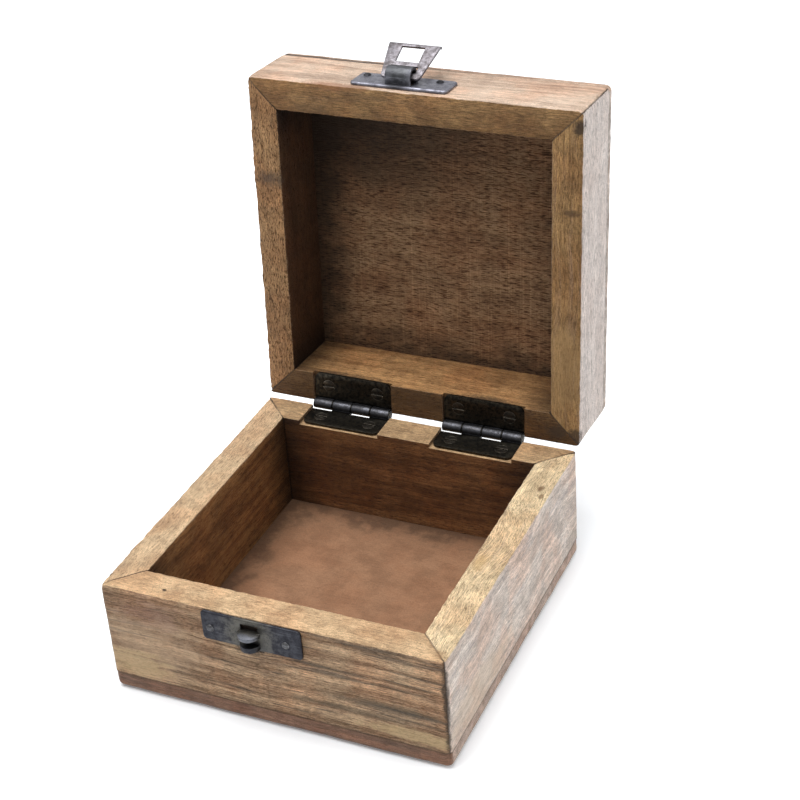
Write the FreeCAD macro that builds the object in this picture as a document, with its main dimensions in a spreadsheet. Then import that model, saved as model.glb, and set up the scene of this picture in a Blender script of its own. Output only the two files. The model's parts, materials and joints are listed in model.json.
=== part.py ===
import FreeCAD, Part
import os
import Sketcher
from FreeCAD import Placement, Rotation, Vector

# A square wooden keepsake box with a hinged lid and a hasp, modelled as it stands open.
# X runs to the right, Y to the rear and Z up. The origin is the middle of the underside.
# The lid and what is on it are drawn as closed, in a frame on the hinge pins' axis, and are
# then turned open about that axis.

DRIVING_SIZES = (
    ("box_width", 100, "outside of the base, left to right"),
    ("box_depth", 100, "outside of the base, front to rear"),
    ("wall_thick", 10, "base walls"),
    ("wall_height", 30, "base walls, above the bottom panel"),
    ("bottom_thick", 5.5, "bottom panel"),
    ("edge_round", 2.5, "rounding of the panels' outer edges"),
    ("lid_overhang", 0.4, "lid past the base on every side"),
    ("lid_gap", 0.3, "between the two rims when closed"),
    ("rail_thick", 9.5, "lid rails"),
    ("rail_height", 21.5, "lid rails, below the top panel"),
    ("top_thick", 4, "top panel"),
    ("lid_angle", 94, "how far the lid stands open, in degrees"),
    ("hinge_length", 25, "each hinge, along the pin"),
    ("left_hinge_x", -21.9, "middle of the left hinge"),
    ("right_hinge_x", 20.4, "middle of the right hinge"),
    ("pin_diameter", 1.5, "hinge pin"),
    ("pin_play", 0.05, "radial clearance of the pin in the knuckles"),
    ("pin_setback", 0.9, "pin axis behind the base's rear face"),
    ("leaf_thick", 0.8, "hinge leaf sheet"),
    ("leaf_reach", 9.9, "pin axis to the leaf's free edge"),
    ("leaf_corner", 2.2, "rounding of the leaf's free corners"),
    ("knuckle_gap", 0.15, "between neighbouring knuckles"),
    ("notch_play", 0.7, "base leaf's straight notches past the lid leaf's knuckles"),
    ("hollow_play", 0.08, "lid leaf's round notches past the base leaf's knuckles"),
    ("gain_play", 0.4, "gain past each end of the hinge"),
    ("screw_spacing", 16, "between the two screws of a leaf"),
    ("screw_line", 5.9, "pin axis to the screws"),
    ("screw_head", 4, "screw head diameter"),
    ("screw_shank", 1.8, "screw shank diameter"),
    ("screw_length", 7, "screw in the wood"),
    ("screw_play", 0.05, "radial clearance of screws and nails in their holes"),
    ("slot_width", 0.6, "screwdriver slot"),
    ("slot_depth", 0.4, "screwdriver slot"),
    ("hardware_x", -4.2, "middle of the catch and the hasp"),
    ("plate_width", 29, "catch plate and hasp plate"),
    ("plate_height", 9.2, "catch plate and hasp plate"),
    ("plate_thick", 0.8, "catch plate and hasp plate"),
    ("plate_corner", 1.2, "rounding of the plates' corners"),
    ("plate_bevel", 0.3, "bevel round the plates' faces"),
    ("catch_drop", 0.4, "base rim to the catch plate's upper edge"),
    ("hasp_rise", 1.9, "lid rim to the hasp plate's lower edge"),
    ("nail_spacing", 22, "between the two nails of a plate"),
    ("nail_shift", -1, "nails off the plate's middle"),
    ("catch_nail_rise", 4, "catch plate's lower edge to its nails"),
    ("hasp_nail_rise", 6.9, "hasp plate's lower edge to its nails"),
    ("nail_head", 2.4, "nail head diameter"),
    ("nail_crown", 1.2, "flat on top of the nail head"),
    ("nail_head_height", 0.5, "nail head"),
    ("nail_shank", 1, "nail shank diameter"),
    ("nail_length", 6, "nail in the wood"),
    ("latch_shift", -0.3, "eye, link and hook off the plates' middle"),
    ("eye_width", 7.5, "rolled eye of the hasp plate"),
    ("eye_radius", 1.9, "inside of the rolled eye"),
    ("eye_rise", 3.6, "hasp plate's lower edge to the eye's axis"),
    ("eye_cut", 3.3, "hole in the hasp plate, above the eye's axis"),
    ("eye_play", 0.2, "hole in the hasp plate past each end of the eye"),
    ("link_thick", 0.8, "hasp link sheet"),
    ("link_bar", 2.1, "link's bar in the eye"),
    ("link_root", 11.5, "link width at the eye"),
    ("link_tip", 15.4, "link width at the lip"),
    ("link_corner", 1, "rounding of the link's corners"),
    ("slot_end", 3.5, "eye axis to the far end of the slot for the eye"),
    ("slot_span", 8.3, "width of the slot for the eye"),
    ("window_start", 5, "eye axis to the near edge of the hook's window"),
    ("window_end", 10.9, "eye axis to the far edge of the hook's window"),
    ("window_span", 7, "width of the hook's window"),
    ("link_flat", 0.6, "flat bar between the window and the lip"),
    ("lip_length", 1.8, "finger lip"),
    ("lip_angle", 46, "bend of the finger lip, in degrees"),
    ("link_swing", 152, "link lifted from hanging straight down, in degrees"),
    ("hook_width", 6.4, "half-round hook of the catch"),
    ("hook_thick", 1, "hook sheet"),
    ("hook_play", 0.25, "link's bar under the hook when latched"),
    ("hook_bead", 0.8, "turned-down edge of the hook, front to rear"),
    ("hook_drop", 0.1, "turned-down edge of the hook, below the sheet"),
    ("hook_bead_turn", 70, "how far round the hook the edge is turned down, in degrees"),
    ("hook_hole_width", 5, "hole left by the hook"),
    ("hook_hole_height", 2, "hole left by the hook"),
    ("jaw_width", 5.6, "half-round lower lip of the catch"),
    ("jaw_thick", 1.5, "lower lip of the catch"),
    ("mouth", 2.45, "between the hook and the lower lip, for the link"),
)

# Places that follow from the driving sizes, in the base's frame.
BASE_TOP = "(sizes.bottom_thick + sizes.wall_height)"
PIN_Y = "(sizes.box_depth / 2 + sizes.pin_setback)"
PIN_Z = "(" + BASE_TOP + " + sizes.lid_gap / 2)"
CATCH_MIDDLE = "(" + BASE_TOP + " - sizes.catch_drop - sizes.plate_height / 2)"

# Radii about the pin axis.
PIN_RADIUS = "(sizes.pin_diameter / 2)"
BORE = "(" + PIN_RADIUS + " + sizes.pin_play)"
KNUCKLE = "(" + BORE + " + sizes.leaf_thick)"

# Places on the closed lid, in the frame on the pin axis.
LID_RIM = "(sizes.lid_gap / 2)"
LID_SIDE = "(sizes.box_width / 2 + sizes.lid_overhang)"
LID_BACK = "(sizes.lid_overhang - sizes.pin_setback)"
LID_FRONT = "(-sizes.box_depth - sizes.lid_overhang - sizes.pin_setback)"
HASP_MIDDLE = "(" + LID_RIM + " + sizes.hasp_rise + sizes.plate_height / 2)"
EYE_Y = "(" + LID_FRONT + " - sizes.plate_thick - sizes.eye_radius)"
EYE_Z = "(" + LID_RIM + " + sizes.hasp_rise + sizes.eye_rise)"

# Cutting tools run this far past the faces that they open.
PAST = "1"
KNUCKLES_PER_HINGE = 4
LID_KNUCKLES = (0, 2)
BASE_KNUCKLES = (1, 3)

doc = FreeCAD.newDocument("wooden_box")
sizes = doc.addObject("Spreadsheet::Sheet", "sizes")
for row, (alias, value, meaning) in enumerate(DRIVING_SIZES, 1):
    sizes.set("A%d" % row, meaning)
    sizes.set("B%d" % row, str(value))
    sizes.setAlias("B%d" % row, alias)
doc.recompute()

pieces = []


def bind(thing, rules):
    for name, rule in rules.items():
        thing.setExpression(name, rule)
    return thing


def place(x, y, z):
    return {"Placement.Base.x": x, "Placement.Base.y": y, "Placement.Base.z": z}


def keep(thing, label):
    """Make this the finished piece of that name."""
    thing.Label = label
    pieces.append(thing)
    return thing


def on_lid(thing, x="0", y="0", z="0", turn="0"):
    """Put a thing's own frame at a point of the lid, turned about -X, and open the lid."""
    cosine = "cos(sizes.lid_angle * 1 deg)"
    sine = "sin(sizes.lid_angle * 1 deg)"
    thing.Placement = Placement(Vector(0, 0, 0), Rotation(Vector(-1, 0, 0), 1))
    back = "%s + (%s) * %s + (%s) * %s" % (PIN_Y, y, cosine, z, sine)
    up = "%s - (%s) * %s + (%s) * %s" % (PIN_Z, y, sine, z, cosine)
    bind(thing, place(x, back, up))
    return bind(thing, {"Placement.Rotation.Angle": "sizes.lid_angle + %s" % turn})


def on_front(thing, y, z):
    """Stand a thing that was drawn flat on a front face: its Z then points forward."""
    thing.Placement = Placement(Vector(0, 0, 0), Rotation(Vector(1, 0, 0), 90))
    return bind(thing, place("sizes.hardware_x", y, z))


def block(name, low, size):
    thing = doc.addObject("Part::Box", name)
    bind(thing, {"Length": size[0], "Width": size[1], "Height": size[2]})
    return bind(thing, place(*low))


def rod(name, start, radius, length):
    """An upright round bar from the middle of its lower end."""
    thing = doc.addObject("Part::Cylinder", name)
    bind(thing, {"Radius": radius, "Height": length})
    return bind(thing, place(*start))


def bar_along_x(name, x, radius, length):
    thing = rod(name, (x, "0", "0"), radius, length)
    thing.Placement = Placement(Vector(0, 0, 0), Rotation(Vector(0, 1, 0), 90))
    return thing


def cone(name, start, low_radius, high_radius, height):
    thing = doc.addObject("Part::Cone", name)
    bind(thing, {"Radius1": low_radius, "Radius2": high_radius, "Height": height})
    return bind(thing, place(*start))


def join(name, things):
    thing = doc.addObject("Part::MultiFuse", name)
    thing.Shapes = things
    return thing


def cut(name, base, tool):
    thing = doc.addObject("Part::Cut", name)
    thing.Base = base
    thing.Tool = tool
    return thing


def group(name, things):
    thing = doc.addObject("Part::Compound", name)
    thing.Links = things
    return thing


def sketch_on(body, role, name, lift="0"):
    plane = next(item for item in body.Origin.OriginFeatures if item.Role == role)
    sketch = body.newObject("Sketcher::SketchObject", name)
    sketch.AttachmentSupport = [(plane, "")]
    sketch.MapMode = "FlatFace"
    return bind(sketch, {"AttachmentOffset.Base.z": lift})


def pin_down(sketch, geometry, point, x, y):
    """Hold a point of the sketch at x and y from its origin."""
    for way, rule in (("DistanceX", x), ("DistanceY", y)):
        value = float(sizes.evalExpression(rule))
        held = Sketcher.Constraint(way, -1, 1, geometry, point, value)
        index = sketch.addConstraint(held)
        sketch.setExpression("Constraints[%d]" % index, rule)


def outline(sketch, corners):
    """Draw a closed polygon through corners that are pairs of rules."""
    first = sketch.GeometryCount
    count = len(corners)
    points = [Vector(*(float(sizes.evalExpression(rule)) for rule in corner)) for corner in corners]
    for index in range(count):
        side = Part.LineSegment(points[index], points[(index + 1) % count])
        sketch.addGeometry(side, False)
    for index, (x, y) in enumerate(corners):
        following = first + (index + 1) % count
        sketch.addConstraint(Sketcher.Constraint("Coincident", first + index, 2, following, 1))
        pin_down(sketch, first + index, 1, x, y)
    return sketch


def rectangle(sketch, left, low, right, high):
    return outline(sketch, ((left, low), (right, low), (right, high), (left, high)))


def circle(sketch, x, y, radius):
    value = float(sizes.evalExpression(radius))
    middle = Vector(float(sizes.evalExpression(x)), float(sizes.evalExpression(y)), 0)
    index = sketch.addGeometry(Part.Circle(middle, Vector(0, 0, 1), value), False)
    pin_down(sketch, index, 3, x, y)
    held = sketch.addConstraint(Sketcher.Constraint("Radius", index, value))
    return bind(sketch, {"Constraints[%d]" % held: radius})


def pad(body, sketch, length, side="One side"):
    feature = body.newObject("PartDesign::Pad", sketch.Name + "_pad")
    feature.Profile = sketch
    feature.SideType = side
    return bind(feature, {"Length": length})


def pocket(body, sketch, length):
    """Cut the sketch to both sides of its plane, a given length in all."""
    feature = body.newObject("PartDesign::Pocket", sketch.Name + "_pocket")
    feature.Profile = sketch
    feature.SideType = "Symmetric"
    return bind(feature, {"Length": length})


def half_turn(body, sketch, angle):
    """Spin the sketch about its horizontal axis, half of the angle to each side."""
    feature = body.newObject("PartDesign::Revolution", sketch.Name + "_turn")
    feature.Profile = sketch
    feature.ReferenceAxis = (sketch, ["H_Axis"])
    feature.Midplane = True
    return bind(feature, {"Angle": angle})


def near(first, second):
    return abs(first - second) < 1e-6


def is_upright(edge):
    ends = edge.Vertexes
    return len(ends) == 2 and near(ends[0].X, ends[1].X) and near(ends[0].Y, ends[1].Y)


def lies_at(edge, height):
    return all(near(end.Z, height) for end in edge.Vertexes)


def dress(body, kind, size_name, size, wanted):
    """Fillet or chamfer the edges of the body as it is so far that are wanted."""
    doc.recompute()
    base = body.Tip
    names = ["Edge%d" % number for number, edge in enumerate(base.Shape.Edges, 1) if wanted(edge)]
    feature = body.newObject("PartDesign::" + kind, body.Name + "_" + kind.lower())
    feature.Base = (base, names)
    return bind(feature, {size_name: size})


def slab(name, corners, lift, thick):
    """A flat board: an outline seen from above, from a height up."""
    body = doc.addObject("PartDesign::Body", name)
    pad(body, outline(sketch_on(body, "XY_Plane", name + "_outline", lift), corners), thick)
    return body


def mitred_boards(side, front, back, thick):
    """The four boards of a frame, seen from above: the outer edge, then the inner one."""
    left, right = "-" + side, side
    outer = {"left": left, "right": right, "front": front, "back": back}
    inner = {
        "left": "%s + %s" % (left, thick),
        "right": "%s - %s" % (right, thick),
        "front": "%s + %s" % (front, thick),
        "back": "%s - %s" % (back, thick),
    }
    ends = {
        "front": (("left", "front"), ("right", "front")),
        "right": (("right", "front"), ("right", "back")),
        "rear": (("right", "back"), ("left", "back")),
        "left": (("left", "back"), ("left", "front")),
    }
    boards = {}
    for board, (start, end) in ends.items():
        edge = [(outer[start[0]], outer[start[1]]), (outer[end[0]], outer[end[1]])]
        edge += [(inner[end[0]], inner[end[1]]), (inner[start[0]], inner[start[1]])]
        boards[board] = edge
    return boards


def panel(name, side, front, back, lift, thick, outer_face):
    """A board that covers a frame, with its outer face and its corners rounded over."""
    corners = (("-" + side, front), (side, front), (side, back), ("-" + side, back))
    body = slab(name, corners, lift, thick)
    level = float(sizes.evalExpression(outer_face))
    radius = "min(sizes.edge_round; 0.9 * %s)" % thick
    dress(body, "Fillet", "Radius", radius, lambda edge: is_upright(edge) or lies_at(edge, level))
    return body


def screw_places(hinge_x):
    for label, sign in (("first", "-"), ("second", "+")):
        yield label, "(%s %s sizes.screw_spacing / 2)" % (hinge_x, sign)


def hinge_seats(name, side):
    """What the hinges need cut away of a rear rim: two gains and four screw holes."""
    tools = []
    for hinge in ("left", "right"):
        hinge_x = "sizes.%s_hinge_x" % hinge
        stem = "%s_%s" % (name, hinge)
        left = "%s - sizes.hinge_length / 2 - sizes.gain_play" % hinge_x
        low = "-" + KNUCKLE if side == "base" else "0"
        front = "-sizes.pin_setback - max(sizes.wall_thick; sizes.rail_thick) - " + PAST
        size = ("sizes.hinge_length + 2 * sizes.gain_play", "-(%s)" % front, KNUCKLE)
        tools.append(block(stem + "_gain", (left, front, low), size))
        for label, x in screw_places(hinge_x):
            foot = "-%s - sizes.screw_length" % KNUCKLE if side == "base" else "0"
            radius = "sizes.screw_shank / 2 + sizes.screw_play"
            length = "sizes.screw_length + " + KNUCKLE
            hole = "%s_%s_hole" % (stem, label)
            tools.append(rod(hole, (x, "-sizes.screw_line", foot), radius, length))
    return join(name, tools)


def hinge_leaf(name, hinge_x, side, own_knuckles):
    """A leaf bent from sheet: its knuckles wrap the pin and its free corners are round."""
    left = "(%s - sizes.hinge_length / 2)" % hinge_x
    right = "(%s + sizes.hinge_length / 2)" % hinge_x
    low = "-" + KNUCKLE if side == "base" else BORE
    free = "-sizes.leaf_reach"
    free_y = float(sizes.evalExpression(free))
    corners = ((left, free), (right, free), (right, "0"), (left, "0"))
    sheet = slab(name + "_sheet", corners, low, "sizes.leaf_thick")
    dress(sheet, "Fillet", "Radius", "sizes.leaf_corner",
          lambda edge: is_upright(edge) and near(edge.Vertexes[0].Y, free_y))
    solid = [sheet]
    hollow = [bar_along_x(name + "_bore", left, BORE, "sizes.hinge_length")]
    step = "(sizes.hinge_length / %d)" % KNUCKLES_PER_HINGE
    for number in range(KNUCKLES_PER_HINGE):
        start = "(%s + %d * %s)" % (left, number, step)
        if number in own_knuckles:
            knuckle = "%s_knuckle_%d" % (name, number)
            begin = start + " + sizes.knuckle_gap / 2"
            solid.append(bar_along_x(knuckle, begin, KNUCKLE, step + " - sizes.knuckle_gap"))
        else:
            notch = "%s_notch_%d" % (name, number)
            begin = start + " - sizes.knuckle_gap / 2"
            hollow.append(leaf_notch(notch, side, begin, step + " + sizes.knuckle_gap"))
    for label, x in screw_places(hinge_x):
        hollow.append(screw_cone("%s_%s_sink" % (name, label), x, side, "sizes.screw_play"))
    return cut(name, join(name + "_solid", solid), join(name + "_hollow", hollow))


def leaf_notch(name, side, begin, length):
    """What a leaf needs cut away for a knuckle of the other leaf: straight or, on the lid, round."""
    if side == "lid":
        return bar_along_x(name, begin, KNUCKLE + " + sizes.hollow_play", length)
    reach = "(%s + sizes.notch_play)" % KNUCKLE
    size = (length, reach + " + " + KNUCKLE, "2 * " + KNUCKLE)
    return block(name, (begin, "-" + reach, "-" + KNUCKLE), size)


def screw_cone(name, x, side, play):
    """The countersunk head of a screw, or its seat where the play is more than nothing."""
    wide = "sizes.screw_head / 2 + " + play
    slim = "sizes.screw_shank / 2 + " + play
    low = "-" + KNUCKLE if side == "base" else BORE
    radii = (slim, wide) if side == "base" else (wide, slim)
    return cone(name, (x, "-sizes.screw_line", low), radii[0], radii[1], "sizes.leaf_thick")


def screw_pair(name, hinge_x, side):
    screws = []
    for label, x in screw_places(hinge_x):
        stem = "%s_%s" % (name, label)
        head = screw_cone(stem + "_head", x, side, "0")
        foot = "-%s - sizes.screw_length" % KNUCKLE if side == "base" else KNUCKLE
        start = (x, "-sizes.screw_line", foot)
        shank = rod(stem + "_shank", start, "sizes.screw_shank / 2", "sizes.screw_length")
        low = "-%s - sizes.slot_depth" % BORE if side == "base" else BORE
        corner = (x + " - sizes.screw_head / 2", "-sizes.screw_line - sizes.slot_width / 2", low)
        slot = block(stem + "_slot", corner, ("sizes.screw_head", "sizes.slot_width", "sizes.slot_depth"))
        screws.append(cut(stem, join(stem + "_solid", [head, shank]), slot))
    return group(name, screws)


def nail_places():
    for label, sign in (("left", "-"), ("right", "+")):
        yield label, "(sizes.nail_shift %s sizes.nail_spacing / 2)" % sign


def nail_line(rise):
    """Height of a plate's nails above its middle."""
    return "(%s - sizes.plate_height / 2)" % rise


def nail_pair(name, rise):
    """Two nails drawn flat, with their heads on the plate's outer face."""
    nails = []
    for label, x in nail_places():
        stem = "%s_%s" % (name, label)
        y = nail_line(rise)
        top = "sizes.plate_thick"
        radii = ("sizes.nail_head / 2", "sizes.nail_crown / 2")
        head = cone(stem + "_head", (x, y, top), radii[0], radii[1], "sizes.nail_head_height")
        length = "sizes.nail_length + " + top
        shank = rod(stem + "_shank", (x, y, "-sizes.nail_length"), "sizes.nail_shank / 2", length)
        nails.append(join(stem, [head, shank]))
    return group(name, nails)


def nail_holes(name, rise):
    tools = []
    for label, x in nail_places():
        start = (x, nail_line(rise), "-sizes.nail_length")
        radius = "sizes.nail_shank / 2 + sizes.screw_play"
        tools.append(rod("%s_%s" % (name, label), start, radius, "sizes.nail_length + " + PAST))
    return join(name, tools)


def pressed_plate(name, rise):
    """A plate drawn flat: rounded corners, a bevelled face and two nail holes."""
    half_width, half_height = "sizes.plate_width / 2", "sizes.plate_height / 2"
    corners = (("-" + half_width, "-" + half_height), (half_width, "-" + half_height),
               (half_width, half_height), ("-" + half_width, half_height))
    body = slab(name, corners, "0", "sizes.plate_thick")
    dress(body, "Fillet", "Radius", "sizes.plate_corner", is_upright)
    face = float(sizes.evalExpression("sizes.plate_thick"))
    dress(body, "Chamfer", "Size", "sizes.plate_bevel", lambda edge: lies_at(edge, face))
    holes = sketch_on(body, "XY_Plane", name + "_nail_holes")
    for label, x in nail_places():
        circle(holes, x, nail_line(rise), "sizes.nail_shank / 2 + sizes.screw_play")
    pocket(body, holes, "2 * sizes.plate_thick + " + PAST)
    return body


def add_hook(body):
    """Two half-round tongues pressed out of the catch plate: the hook, and a lower lip below the link."""
    closed_eye = "(%s + %s - %s)" % (PIN_Z, EYE_Z, CATCH_MIDDLE)
    under = "(%s - sizes.window_end + sizes.hook_play)" % closed_eye
    top = "(%s + sizes.hook_thick)" % under
    radius = "(sizes.hook_width / 2)"
    left = "sizes.latch_shift - sizes.hook_hole_width / 2"
    right = "sizes.latch_shift + sizes.hook_hole_width / 2"
    hole = sketch_on(body, "XY_Plane", "hook_hole")
    rectangle(hole, left, top, right, top + " + sizes.hook_hole_height")
    pocket(body, hole, "2 * sizes.plate_thick + " + PAST)
    edge = radius + " - sizes.hook_bead"
    jaw = "(%s - sizes.mouth)" % under
    for name, low, high, inner, outer, angle in (
        ("hook_shelf", under, top, "0", radius, "180"),
        ("hook_edge", under + " - sizes.hook_drop", top, edge, radius, "sizes.hook_bead_turn"),
        ("lower_lip", jaw + " - sizes.jaw_thick", jaw, "0", "sizes.jaw_width / 2", "180"),
    ):
        profile = sketch_on(body, "YZ_Plane", name)
        bind(profile, {"AttachmentOffset.Base.y": "sizes.plate_thick",
                       "AttachmentOffset.Base.z": "sizes.latch_shift"})
        rectangle(profile, low, inner, high, outer)
        half_turn(body, profile, angle)
    return body


def add_eye(body):
    """A tongue raised from the hasp plate and rolled over the link's bar."""
    axis_y = "(sizes.eye_rise - sizes.plate_height / 2)"
    axis_z = "(sizes.plate_thick + sizes.eye_radius)"
    outer = "(sizes.eye_radius + sizes.plate_thick)"
    span = "sizes.eye_width + 2 * sizes.eye_play"
    hole = sketch_on(body, "XY_Plane", "eye_hole")
    low, high = "%s - sizes.eye_radius" % axis_y, "%s + sizes.eye_cut" % axis_y
    left, right = "sizes.latch_shift - (%s) / 2" % span, "sizes.latch_shift + (%s) / 2" % span
    rectangle(hole, left, low, right, high)
    pocket(body, hole, "2 * sizes.plate_thick + " + PAST)
    for name, half, make, length in (
        ("eye", outer, lambda sketch, run: pad(body, sketch, run, "Symmetric"), "sizes.eye_width"),
        ("eye_bore", "sizes.eye_radius", lambda sketch, run: pocket(body, sketch, run), span),
    ):
        legs = sketch_on(body, "YZ_Plane", name + "_legs")
        bind(legs, {"AttachmentOffset.Base.z": "sizes.latch_shift"})
        rectangle(legs, "%s - %s" % (axis_y, half), "0", "%s + %s" % (axis_y, half), axis_z)
        make(legs, length)
        roll = sketch_on(body, "YZ_Plane", name + "_roll")
        bind(roll, {"AttachmentOffset.Base.z": "sizes.latch_shift"})
        circle(roll, axis_y, axis_z, half)
        make(roll, length)
    return body


def hasp_link():
    """The link, drawn flat from the eye's axis: X across it, Y towards its lip."""
    body = doc.addObject("PartDesign::Body", "hasp_link")
    near_end = "-sizes.link_bar / 2"
    bend = "(sizes.window_end + sizes.link_flat)"
    root, tip = "sizes.link_root / 2", "sizes.link_tip / 2"
    flat = sketch_on(body, "XY_Plane", "link_outline")
    outline(flat, (("-" + root, near_end), (root, near_end), (tip, bend), ("-" + tip, bend)))
    pad(body, flat, "sizes.link_thick", "Symmetric")

    thick = "sizes.link_thick"
    cosine, sine = "cos(sizes.lip_angle * 1 deg)", "sin(sizes.lip_angle * 1 deg)"
    mitre = "%s * tan(sizes.lip_angle * 1 deg / 2)" % thick
    inside = (bend, "-%s / 2" % thick)
    end = ("%s + sizes.lip_length * %s" % (bend, cosine), "-%s / 2 - sizes.lip_length * %s" % (thick, sine))
    far = ("%s + %s * %s" % (end[0], thick, sine), "%s + %s * %s" % (end[1], thick, cosine))
    lip = sketch_on(body, "YZ_Plane", "link_lip")
    outline(lip, (inside, end, far, ("%s + %s" % (bend, mitre), thick + " / 2"), (bend, thick + " / 2")))
    pad(body, lip, "sizes.link_tip", "Symmetric")

    for name, span, start, stop in (
        ("link_slot", "sizes.slot_span", "sizes.link_bar / 2", "sizes.slot_end"),
        ("link_window", "sizes.window_span", "sizes.window_start", "sizes.window_end"),
    ):
        opening = sketch_on(body, "XY_Plane", name)
        rectangle(opening, "-%s / 2" % span, start, "%s / 2" % span, stop)
        pocket(body, opening, "2 * %s + %s" % (thick, PAST))

    near_y = float(sizes.evalExpression(near_end))
    end_y = float(sizes.evalExpression(end[0]))

    def is_corner(edge):
        ends = edge.Vertexes
        outermost = abs(ends[0].X) > float(sizes.evalExpression("sizes.slot_span / 2")) + 1e-3
        across = near(ends[0].X, ends[-1].X)
        at_end = near(ends[0].Y, near_y) and near(ends[1].Y, near_y)
        at_lip = min(ends[0].Y, ends[1].Y) > end_y - 1e-6
        return outermost and across and (at_end or at_lip)

    dress(body, "Fillet", "Radius", "sizes.link_corner", is_corner)
    return body


# The base: a mitred frame of four walls on a bottom panel.
FRONT, BACK = "-sizes.box_depth / 2", "sizes.box_depth / 2"
SIDE = "sizes.box_width / 2"
keep(panel("bottom", SIDE, FRONT, BACK, "0", "sizes.bottom_thick", "0"), "base_bottom_panel")
walls = {}
for board, corners in mitred_boards(SIDE, FRONT, BACK, "sizes.wall_thick").items():
    walls[board] = slab("wall_" + board, corners, "sizes.bottom_thick", "sizes.wall_height")
base_seats = bind(hinge_seats("base_seats", "base"), place("0", PIN_Y, PIN_Z))
catch_holes = on_front(nail_holes("catch_holes", "sizes.catch_nail_rise"), FRONT, CATCH_MIDDLE)
keep(cut("front_wall", walls["front"], catch_holes), "base_front_wall")
keep(cut("rear_wall", walls["rear"], base_seats), "base_rear_wall")
keep(walls["left"], "base_left_wall")
keep(walls["right"], "base_right_wall")

# The catch on the front wall.
catch = add_hook(pressed_plate("catch", "sizes.catch_nail_rise"))
keep(on_front(catch, FRONT, CATCH_MIDDLE), "catch_plate")
nails = nail_pair("catch_nail_pair", "sizes.catch_nail_rise")
keep(on_front(nails, FRONT, CATCH_MIDDLE), "catch_nails")

# The lid: a mitred frame of four rails under a top panel.
LID_TOP = "(%s + sizes.rail_height)" % LID_RIM
OUTER_FACE = "(%s + sizes.top_thick)" % LID_TOP
top = panel("top", LID_SIDE, LID_FRONT, LID_BACK, LID_TOP, "sizes.top_thick", OUTER_FACE)
keep(on_lid(top), "lid_top_panel")
rails = {}
for board, corners in mitred_boards(LID_SIDE, LID_FRONT, LID_BACK, "sizes.rail_thick").items():
    rails[board] = slab("rail_" + board, corners, LID_RIM, "sizes.rail_height")
hasp_holes = on_front(nail_holes("hasp_holes", "sizes.hasp_nail_rise"), LID_FRONT, HASP_MIDDLE)
keep(on_lid(cut("front_rail", rails["front"], hasp_holes)), "lid_front_rail")
keep(on_lid(cut("rear_rail", rails["rear"], hinge_seats("lid_seats", "lid"))), "lid_rear_rail")
keep(on_lid(rails["left"]), "lid_left_rail")
keep(on_lid(rails["right"]), "lid_right_rail")

# The hasp on the front rail, with its link.
hasp = add_eye(pressed_plate("hasp", "sizes.hasp_nail_rise"))
keep(on_lid(hasp, "sizes.hardware_x", LID_FRONT, HASP_MIDDLE, "-90"), "hasp_plate")
nails = nail_pair("hasp_nail_pair", "sizes.hasp_nail_rise")
keep(on_lid(nails, "sizes.hardware_x", LID_FRONT, HASP_MIDDLE, "-90"), "hasp_nails")
LATCH_X = "(sizes.hardware_x + sizes.latch_shift)"
keep(on_lid(hasp_link(), LATCH_X, EYE_Y, EYE_Z, "90 + sizes.link_swing"), "hasp_link")

# The two hinges: leaves, pins and screws, drawn about the pin axis.
for hinge in ("left", "right"):
    hinge_x = "sizes.%s_hinge_x" % hinge
    leaf = hinge_leaf(hinge + "_base_leaf", hinge_x, "base", BASE_KNUCKLES)
    keep(bind(leaf, place("0", PIN_Y, PIN_Z)), hinge + "_hinge_base_leaf")
    screws = screw_pair(hinge + "_base_screws", hinge_x, "base")
    keep(bind(screws, place("0", PIN_Y, PIN_Z)), hinge + "_hinge_base_screws")
    start = "%s - sizes.hinge_length / 2" % hinge_x
    pin = bar_along_x(hinge + "_pin", start, PIN_RADIUS, "sizes.hinge_length")
    keep(bind(pin, {"Placement.Base.y": PIN_Y, "Placement.Base.z": PIN_Z}), hinge + "_hinge_pin")
    leaf = hinge_leaf(hinge + "_lid_leaf", hinge_x, "lid", LID_KNUCKLES)
    keep(on_lid(leaf), hinge + "_hinge_lid_leaf")
    screws = screw_pair(hinge + "_lid_screws", hinge_x, "lid")
    keep(on_lid(screws), hinge + "_hinge_lid_screws")

doc.recompute()
for thing in doc.Objects:
    if "Invalid" in thing.State or "Error" in thing.State:
        raise RuntimeError("%s could not be made: %s" % (thing.Label, thing.State))
for piece in pieces:
    if piece.Shape.isNull() or not piece.Shape.isValid():
        raise RuntimeError("%s has no valid shape" % piece.Label)

os.makedirs("parts", exist_ok=True)
for piece in pieces:
    piece.Shape.exportStep("parts/%s.step" % piece.Label)
    print("%-26s %d solid(s) %10.2f mm3" % (piece.Label, len(piece.Shape.Solids), piece.Shape.Volume))
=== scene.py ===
# %% [markdown]
# # A small wooden box with a hasp
# This lesson dresses a finished construction. The box, its lid, its hinges and its hasp come in as
# plain solids in one shared frame; each of them is answered here by a piece with worn edges, sawn
# grain or blackened metal, made with the tools a modeller uses by hand.

# %% Load the frame
import json
import math
import bmesh
import bpy
from mathutils import Matrix, Vector


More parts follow.
